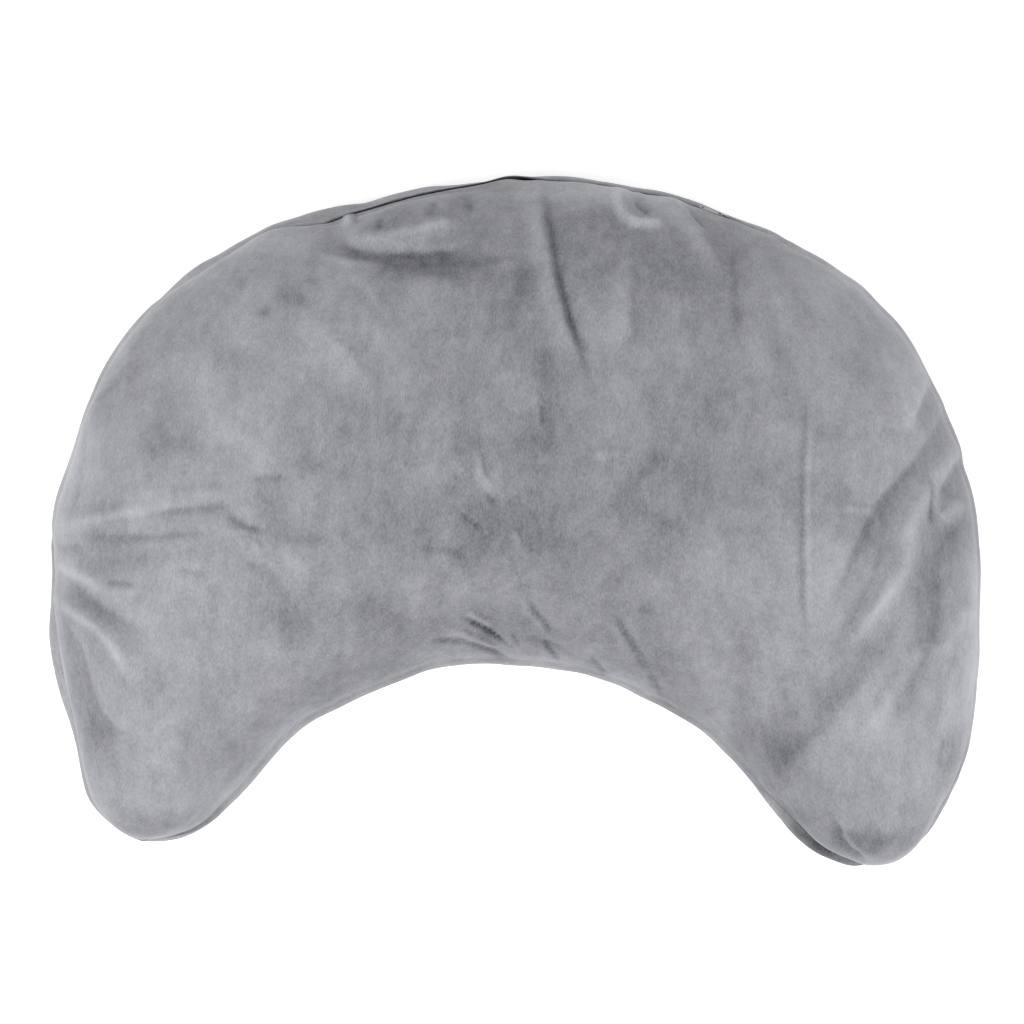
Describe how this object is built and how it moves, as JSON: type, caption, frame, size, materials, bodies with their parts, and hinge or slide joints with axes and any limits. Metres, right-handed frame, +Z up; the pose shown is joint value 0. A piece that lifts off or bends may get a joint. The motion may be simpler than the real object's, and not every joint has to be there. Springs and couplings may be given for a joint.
{
  "type": "nursing pillow",
  "caption": "Curved nursing pillow: a fibre-filled insert in a loose grey velvet slipcover with a concealed zip along its rear seam and a waist recess between two arms.",
  "frame": {"origin": "on the surface the pillow lies on, under the centre of its bounding box", "axes": "+Z up with the pillow lying flat on its underside, X across its width, +Y towards the zipped rear seam, so the arms point to -Y"},
  "size_m": [0.5996, 0.4355, 0.116],
  "materials": {
    "velvet_top": "soft grey velvet with a short brushed pile",
    "velvet_bottom": "soft grey velvet with a short brushed pile",
    "thread": "matt spun thread",
    "label_satin": "plain satin ribbon, blank",
    "zip_tape": "tight woven tape",
    "zip_coil": "nylon coil",
    "zip_stop": "pressed metal",
    "slider_metal": "bright plated metal",
    "pull_metal": "grey enamel",
    "casing": "plain white woven cotton",
    "fibre": "loose white polyester fibre"
  },
  "bodies": {
    "pillow": {"cover_top_panel": "velvet_top", "cover_bottom_panel": "velvet_bottom", "cover_seam_thread": "thread", "care_label": "label_satin", "zip_tape_upper": "zip_tape", "zip_tape_lower": "zip_tape", "zip_coil_upper": "zip_coil", "zip_coil_lower": "zip_coil", "zip_top_stops": "zip_stop", "zip_bottom_stop": "zip_stop", "zip_end_tacks": "thread", "zip_stitching": "thread", "insert_casing_top": "casing", "insert_casing_bottom": "casing", "insert_closing_stitches": "thread", "fibre_fill": "fibre"},
    "zip_slider": {"zip_slider_body": "slider_metal", "zip_slider_bail": "slider_metal"},
    "zip_pull": {"zip_pull_tab": "pull_metal"}
  },
  "joints": [
    {"name": "zip_slide", "type": "hinge", "parent": "pillow", "child": "zip_slider", "pos_m": [0.01, -0.1255, 0.05], "axis": [0, 0, 1], "range_deg": [0, 39.5]},
    {"name": "zip_pull_flip", "type": "hinge", "parent": "zip_slider", "child": "zip_pull", "pos_m": [0.12325, 0.19549, 0.05137], "axis": [0.1661, 0.4716, -0.866], "range_deg": [0, 175]}
  ]
}
